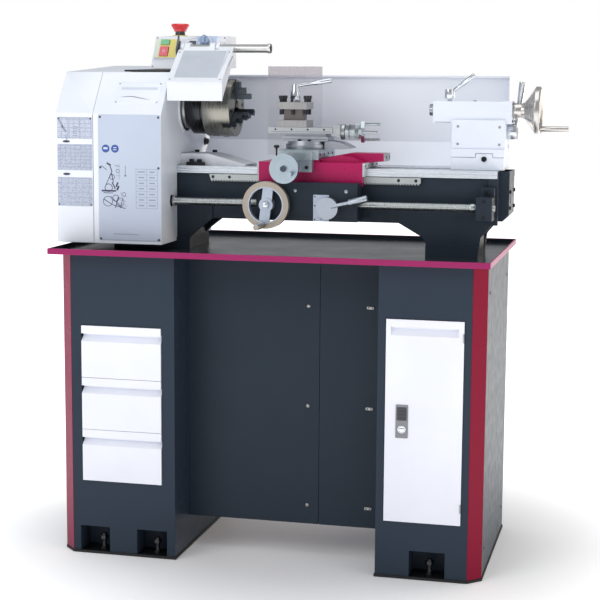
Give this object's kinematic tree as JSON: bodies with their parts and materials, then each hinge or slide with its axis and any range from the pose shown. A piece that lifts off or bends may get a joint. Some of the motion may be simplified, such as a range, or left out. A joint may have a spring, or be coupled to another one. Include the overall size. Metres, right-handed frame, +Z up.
{
  "type": "bench lathe",
  "caption": "Metal turning lathe with three-jaw chuck, carriage, tailstock and splash guard, on a cabinet stand with drawers, door and chip tray.",
  "frame": {"origin": "centre of the footprint at floor level", "axes": "+Z up, +X from the headstock to the tailstock along the spindle axis, +Y from the operator to the splash guard"},
  "size_m": [1.079, 0.514, 1.1535],
  "materials": {
    "stand_paint": "satin powder coat",
    "trim_paint": "satin powder coat",
    "tray_paint": "satin",
    "front_paint": "satin powder coat",
    "lock_grey": "matte",
    "zinc_steel": "zinc plated",
    "bed_casting": "painted, ways ground",
    "ground_steel": "ground",
    "housing_white": "satin powder coat",
    "casting_white": "painted",
    "bearing_steel": "polished",
    "machined_steel": "machined",
    "motor_paint": "satin",
    "belt_rubber": "matte",
    "chuck_steel": "turned",
    "jaw_steel": "blackened",
    "button_green": "gloss",
    "button_red": "gloss",
    "flap_grey": "matte",
    "knob_pale": "matte",
    "clear_window": "clear polycarbonate",
    "pivot_steel": "satin",
    "saddle_paint": "gloss enamel",
    "apron_paint": "satin",
    "handwheel_alloy": "turned",
    "lever_chrome": "satin chrome",
    "toolpost_steel": "machined",
    "shield_grey": "matte"
  },
  "bodies": {
    "frame": {"left_pedestal": "stand_paint", "right_pedestal": "stand_paint", "corner_trims": "trim_paint", "centre_panel": "stand_paint", "access_panel": "stand_paint", "anchor_bolts": "zinc_steel", "chip_tray": "tray_paint", "bed": "bed_casting", "rack": "ground_steel", "leadscrew_bracket": "bed_casting", "headstock": "casting_white", "headstock_housing": "housing_white", "spindle_bearings": "bearing_steel", "drive_motor": "motor_paint", "drive_belt": "belt_rubber", "control_box": "housing_white", "splash_guard": "housing_white"},
    "drawer_top": {"drawer_top": "front_paint"},
    "drawer_middle": {"drawer_middle": "front_paint"},
    "drawer_bottom": {"drawer_bottom": "front_paint"},
    "cabinet_door": {"cabinet_door": "front_paint"},
    "door_lock": {"door_lock": "lock_grey"},
    "gear_cover": {"gear_cover": "housing_white"},
    "spindle": {"spindle": "ground_steel", "spindle_pulley": "machined_steel", "spindle_gear": "machined_steel", "chuck_body": "chuck_steel"},
    "chuck_jaw_1": {"chuck_jaw_1": "jaw_steel"},
    "chuck_jaw_2": {"chuck_jaw_2": "jaw_steel"},
    "chuck_jaw_3": {"chuck_jaw_3": "jaw_steel"},
    "motor_pulley": {"motor_pulley": "machined_steel"},
    "idler_gear": {"idler_gear": "machined_steel"},
    "leadscrew": {"leadscrew": "ground_steel", "leadscrew_gear": "machined_steel"},
    "start_button": {"start_button": "button_green"},
    "stop_button": {"stop_button": "button_red"},
    "switch_flap": {"switch_flap": "flap_grey"},
    "emergency_stop": {"emergency_stop": "button_red"},
    "direction_switch": {"direction_switch": "knob_pale"},
    "chuck_guard": {"chuck_guard": "housing_white", "guard_window": "clear_window", "guard_pivot": "pivot_steel"},
    "carriage": {"saddle": "saddle_paint", "apron": "apron_paint"},
    "carriage_handwheel": {"carriage_handwheel": "handwheel_alloy"},
    "half_nut_lever": {"half_nut_lever": "lever_chrome"},
    "cross_slide": {"cross_slide": "ground_steel", "chip_shield": "shield_grey"},
    "cross_slide_handwheel": {"cross_slide_handwheel": "handwheel_alloy"},
    "compound_base": {"compound_base": "ground_steel"},
    "top_slide": {"top_slide": "ground_steel"},
    "top_slide_crank": {"top_slide_crank": "handwheel_alloy"},
    "toolpost": {"toolpost": "toolpost_steel"},
    "toolpost_lever": {"toolpost_lever": "lever_chrome"},
    "tailstock": {"tailstock_base": "casting_white", "tailstock_body": "casting_white"},
    "quill": {"quill": "ground_steel"},
    "tailstock_handwheel": {"tailstock_handwheel": "handwheel_alloy"},
    "quill_lock_lever": {"quill_lock_lever": "lever_chrome"},
    "tailstock_clamp_lever": {"tailstock_clamp_lever": "lever_chrome"}
  },
  "joints": [
    {"name": "drawer_top_slide", "type": "slide", "parent": "frame", "child": "drawer_top", "axis": [0, -1, 0], "range_m": [0, 0.32]},
    {"name": "drawer_middle_slide", "type": "slide", "parent": "frame", "child": "drawer_middle", "axis": [0, -1, 0], "range_m": [0, 0.32]},
    {"name": "drawer_bottom_slide", "type": "slide", "parent": "frame", "child": "drawer_bottom", "axis": [0, -1, 0], "range_m": [0, 0.32]},
    {"name": "door_hinge", "type": "hinge", "parent": "frame", "child": "cabinet_door", "pos_m": [0.358, -0.219, 0.3], "axis": [0, 0, 1], "range_deg": [0, 110]},
    {"name": "door_lock_turn", "type": "hinge", "parent": "cabinet_door", "child": "door_lock", "pos_m": [0.231, -0.219, 0.3195], "axis": [0, 1, 0], "range_deg": [0, 90]},
    {"name": "gear_cover_hinge", "type": "hinge", "parent": "frame", "child": "gear_cover", "pos_m": [-0.4553, 0.1905, 0.8], "axis": [0, 0, -1], "range_deg": [0, 100]},
    {"name": "spindle_turn", "type": "hinge", "parent": "frame", "child": "spindle", "pos_m": [-0.36, 0, 0.97], "axis": [1, 0, 0], "continuous": true},
    {"name": "jaw_1_slide", "type": "slide", "parent": "spindle", "child": "chuck_jaw_1", "axis": [0, -0.1392, 0.9903], "range_m": [-0.005, 0.004]},
    {"name": "jaw_2_slide", "type": "slide", "parent": "spindle", "child": "chuck_jaw_2", "axis": [0, -0.788, -0.6157], "range_m": [-0.005, 0.004]},
    {"name": "jaw_3_slide", "type": "slide", "parent": "spindle", "child": "chuck_jaw_3", "axis": [0, 0.9272, -0.3746], "range_m": [-0.005, 0.004]},
    {"name": "motor_turn", "type": "hinge", "parent": "frame", "child": "motor_pulley", "pos_m": [-0.48, 0.128, 0.78], "axis": [1, 0, 0], "continuous": true},
    {"name": "idler_turn", "type": "hinge", "parent": "frame", "child": "idler_gear", "pos_m": [-0.51, 0.00962, 0.85039], "axis": [1, 0, 0], "continuous": true},
    {"name": "leadscrew_turn", "type": "hinge", "parent": "frame", "child": "leadscrew", "pos_m": [-0.06, -0.105, 0.77], "axis": [1, 0, 0], "continuous": true},
    {"name": "start_press", "type": "slide", "parent": "frame", "child": "start_button", "axis": [0, 0.8742, -0.4856], "range_m": [0, 0.003], "stiffness_N_per_m": 400},
    {"name": "stop_press", "type": "slide", "parent": "frame", "child": "stop_button", "axis": [0, 0.8742, -0.4856], "range_m": [0, 0.003], "stiffness_N_per_m": 400},
    {"name": "flap_hinge", "type": "hinge", "parent": "frame", "child": "switch_flap", "pos_m": [-0.3075, -0.03568, 1.09984], "axis": [0, -0.4856, -0.8742], "range_deg": [0, 90]},
    {"name": "emergency_press", "type": "slide", "parent": "frame", "child": "emergency_stop", "axis": [0, 0, -1], "range_m": [0, 0.004]},
    {"name": "direction_turn", "type": "hinge", "parent": "frame", "child": "direction_switch", "pos_m": [-0.252, -0.01995, 1.11169], "axis": [0, -0.8742, 0.4856], "range_deg": [-45, 45]},
    {"name": "guard_hinge", "type": "hinge", "parent": "frame", "child": "chuck_guard", "pos_m": [-0.26, -0.046, 1.098], "axis": [-1, 0, 0], "range_deg": [0, 100]},
    {"name": "carriage_slide", "type": "slide", "parent": "frame", "child": "carriage", "axis": [1, 0, 0], "range_m": [-0.02, 0.08]},
    {"name": "carriage_wheel_turn", "type": "hinge", "parent": "carriage", "child": "carriage_handwheel", "pos_m": [-0.078, -0.15, 0.7695], "axis": [0, -1, 0], "range_deg": [-365, 1446]},
    {"name": "half_nut_engage", "type": "hinge", "parent": "carriage", "child": "half_nut_lever", "pos_m": [0.053, -0.14, 0.765], "axis": [0, 1, 0], "range_deg": [0, 25]},
    {"name": "cross_feed", "type": "slide", "parent": "carriage", "child": "cross_slide", "axis": [0, 1, 0], "range_m": [-0.035, 0.015]},
    {"name": "cross_wheel_turn", "type": "hinge", "parent": "carriage", "child": "cross_slide_handwheel", "pos_m": [-0.032, -0.17, 0.848], "axis": [0, 1, 0], "range_deg": [-6320, 2720]},
    {"name": "compound_swivel", "type": "hinge", "parent": "cross_slide", "child": "compound_base", "pos_m": [-0.023, 0, 0.89], "axis": [0, 0, 1], "range_deg": [-18, 30]},
    {"name": "top_slide_feed", "type": "slide", "parent": "compound_base", "child": "top_slide", "axis": [1, 0, 0], "range_m": [-0.015, 0.03]},
    {"name": "top_crank_turn", "type": "hinge", "parent": "top_slide", "child": "top_slide_crank", "pos_m": [0.08, 0, 0.921], "axis": [1, 0, 0], "range_deg": [-2702, 5402]},
    {"name": "toolpost_index", "type": "hinge", "parent": "top_slide", "child": "toolpost", "pos_m": [-0.0525, 0, 0.95], "axis": [0, 0, 1], "range_deg": [-180, 0]},
    {"name": "toolpost_clamp", "type": "hinge", "parent": "toolpost", "child": "toolpost_lever", "pos_m": [-0.0525, 0, 1], "axis": [0, 0, 1], "range_deg": [-15, 20]},
    {"name": "tailstock_slide", "type": "slide", "parent": "frame", "child": "tailstock", "axis": [1, 0, 0], "range_m": [-0.04, 0]},
    {"name": "quill_feed", "type": "slide", "parent": "tailstock", "child": "quill", "axis": [-1, 0, 0], "range_m": [0, 0.05]},
    {"name": "quill_wheel_turn", "type": "hinge", "parent": "tailstock", "child": "tailstock_handwheel", "pos_m": [0.44, 0, 0.97], "axis": [1, 0, 0], "range_deg": [0, 8999]},
    {"name": "quill_lock_turn", "type": "hinge", "parent": "tailstock", "child": "quill_lock_lever", "pos_m": [0.286, 0, 1], "axis": [0, 0, 1], "range_deg": [-30, 60]},
    {"name": "bed_clamp_turn", "type": "hinge", "parent": "tailstock", "child": "tailstock_clamp_lever", "pos_m": [0.42, 0.022, 0.925], "axis": [-1, 0, 0], "range_deg": [0, 55]}
  ],
  "couplings": [
    {"joint": "jaw_2_slide", "follows": "jaw_1_slide", "ratio": 1},
    {"joint": "jaw_3_slide", "follows": "jaw_1_slide", "ratio": 1},
    {"joint": "motor_turn", "follows": "spindle_turn", "ratio": 1.8571},
    {"joint": "idler_turn", "follows": "spindle_turn", "ratio": -0.5},
    {"joint": "leadscrew_turn", "follows": "spindle_turn", "ratio": 0.66667},
    {"joint": "carriage_wheel_turn", "follows": "carriage_slide", "rad_per_m": 314.16},
    {"joint": "cross_wheel_turn", "follows": "cross_feed", "rad_per_m": 3141.6},
    {"joint": "top_crank_turn", "follows": "top_slide_feed", "rad_per_m": 3141.6},
    {"joint": "quill_feed", "follows": "quill_wheel_turn", "m_per_rad": 0.00031831}
  ]
}
